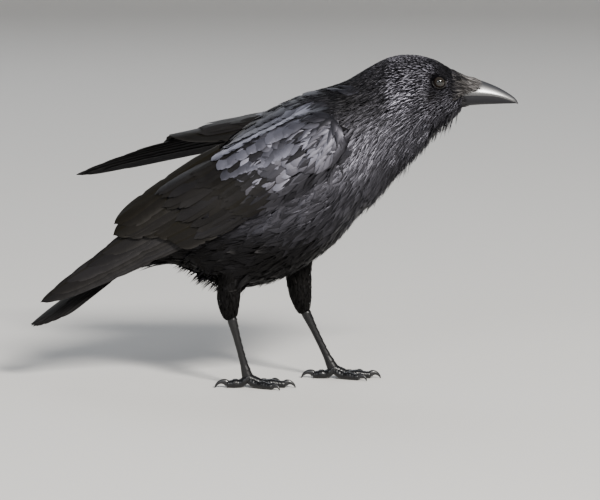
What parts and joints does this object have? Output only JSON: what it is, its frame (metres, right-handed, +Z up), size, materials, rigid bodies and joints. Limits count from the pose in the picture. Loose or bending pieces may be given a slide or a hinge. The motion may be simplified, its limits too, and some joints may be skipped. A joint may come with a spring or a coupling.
{
  "type": "carrion crow",
  "caption": "Still, life-size black crow standing and leaning forward, wings loosely folded with the left one lifted off the back, long bill closed.",
  "frame": {"origin": "on the floor under the middle of the bird's bounding box; the soles stand at Z = 0", "axes": "+X along the bill, +Y to the bird's left, +Z up"},
  "size_m": [0.4348, 0.1928, 0.2946],
  "materials": {
    "plumage": "black contour feathers with a faint blue and purple gloss",
    "flight_feathers": "brownish black flight feathers, satin",
    "horn": "black horn, half gloss",
    "leg_scales": "black scaled skin",
    "eye": "wet dark brown"
  },
  "bodies": {
    "root": {"head": "plumage", "neck": "plumage", "trunk": "plumage", "tail_coverts": "plumage", "eye_left": "eye", "eye_right": "eye", "upper_bill": "horn", "lower_bill": "horn", "thigh_right": "plumage", "tarsus_right": "leg_scales", "foot_right": "leg_scales", "claw_right_middle": "horn", "claw_right_inner": "horn", "claw_right_outer": "horn", "claw_right_hallux": "horn", "thigh_left": "plumage", "tarsus_left": "leg_scales", "foot_left": "leg_scales", "claw_left_middle": "horn", "claw_left_inner": "horn", "claw_left_outer": "horn", "claw_left_hallux": "horn", "wing_right_coverts": "plumage", "wing_right_secondaries": "flight_feathers", "wing_right_primaries": "flight_feathers", "wing_left_coverts": "plumage", "wing_left_secondaries": "flight_feathers", "wing_left_primaries": "flight_feathers", "tail": "flight_feathers"}
  },
  "joints": []
}
